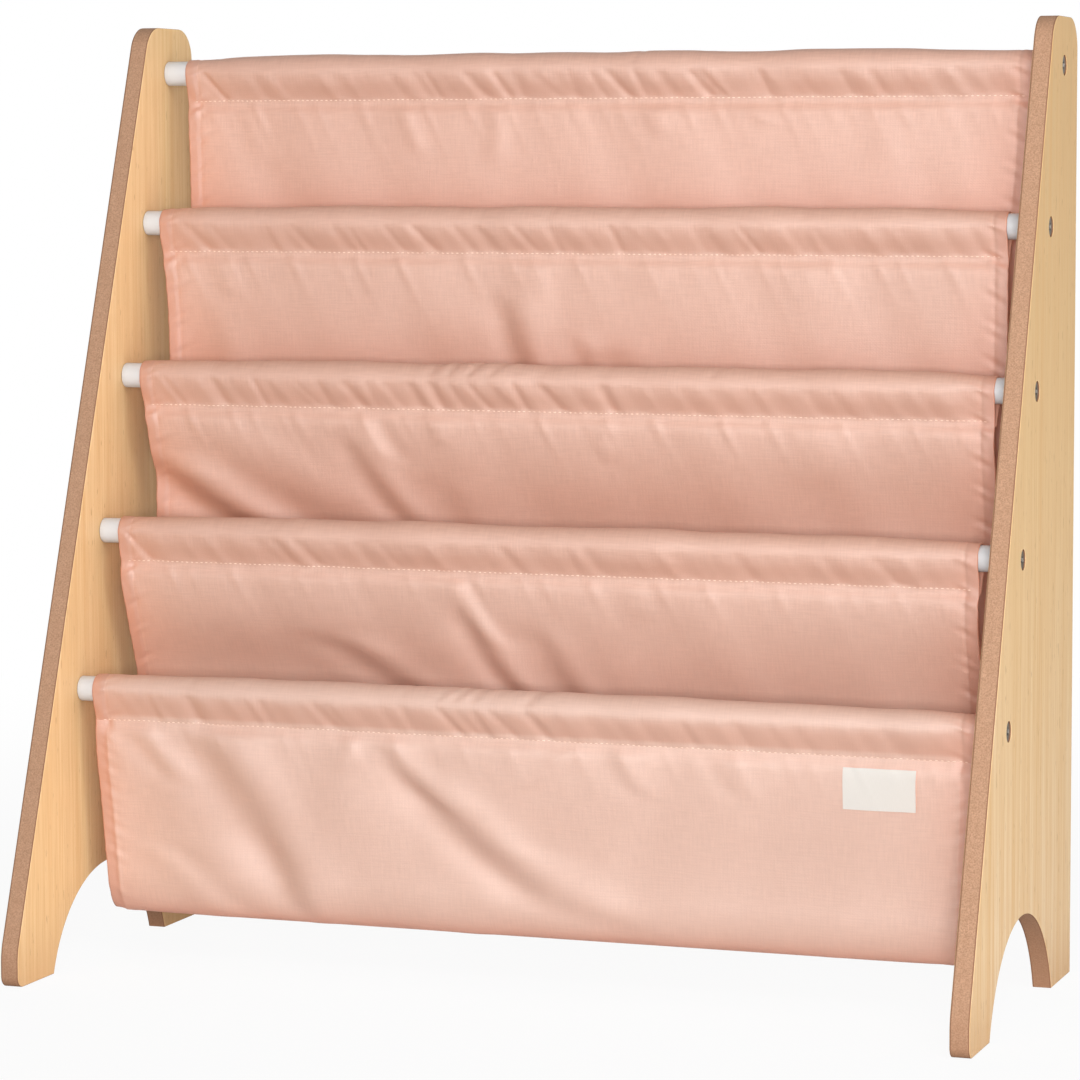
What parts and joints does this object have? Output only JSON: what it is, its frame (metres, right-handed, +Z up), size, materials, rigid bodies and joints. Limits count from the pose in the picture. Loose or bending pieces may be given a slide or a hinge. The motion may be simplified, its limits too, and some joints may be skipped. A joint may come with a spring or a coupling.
{
  "type": "sling bookshelf",
  "caption": "Low children's sling bookshelf: board side panels joined by tube rods, with a sewn cloth cover hanging between the rods in tiered book pockets.",
  "frame": {"origin": "on the floor, under the middle of the whole shelf", "axes": "+X to the right along the rods for someone facing the pockets, -Y out of the front, +Z up"},
  "size_m": [0.616, 0.268, 0.6],
  "materials": {
    "board": "light maple foil on the faces, tan fibreboard at the edges",
    "rod": "white powder coat on steel tube",
    "plug": "grey moulded plastic",
    "bolt": "zinc plated steel",
    "cloth": "peach plain-woven polyester with tone-on-tone stitching",
    "label": "bare cream woven label"
  },
  "bodies": {
    "root": {"left_side_panel": "board", "right_side_panel": "board", "rod_1": "rod", "rod_2": "rod", "rod_3": "rod", "rod_4": "rod", "rod_5": "rod", "left_plug_1": "plug", "left_plug_2": "plug", "left_plug_3": "plug", "left_plug_4": "plug", "left_plug_5": "plug", "right_plug_1": "plug", "right_plug_2": "plug", "right_plug_3": "plug", "right_plug_4": "plug", "right_plug_5": "plug", "left_bolt_1": "bolt", "left_bolt_2": "bolt", "left_bolt_3": "bolt", "left_bolt_4": "bolt", "left_bolt_5": "bolt", "right_bolt_1": "bolt", "right_bolt_2": "bolt", "right_bolt_3": "bolt", "right_bolt_4": "bolt", "right_bolt_5": "bolt", "sleeve_1": "cloth", "sleeve_2": "cloth", "sleeve_3": "cloth", "sleeve_4": "cloth", "sleeve_5": "cloth", "pocket_1": "cloth", "pocket_2": "cloth", "pocket_3": "cloth", "pocket_4": "cloth", "blank_label": "label"}
  },
  "joints": []
}
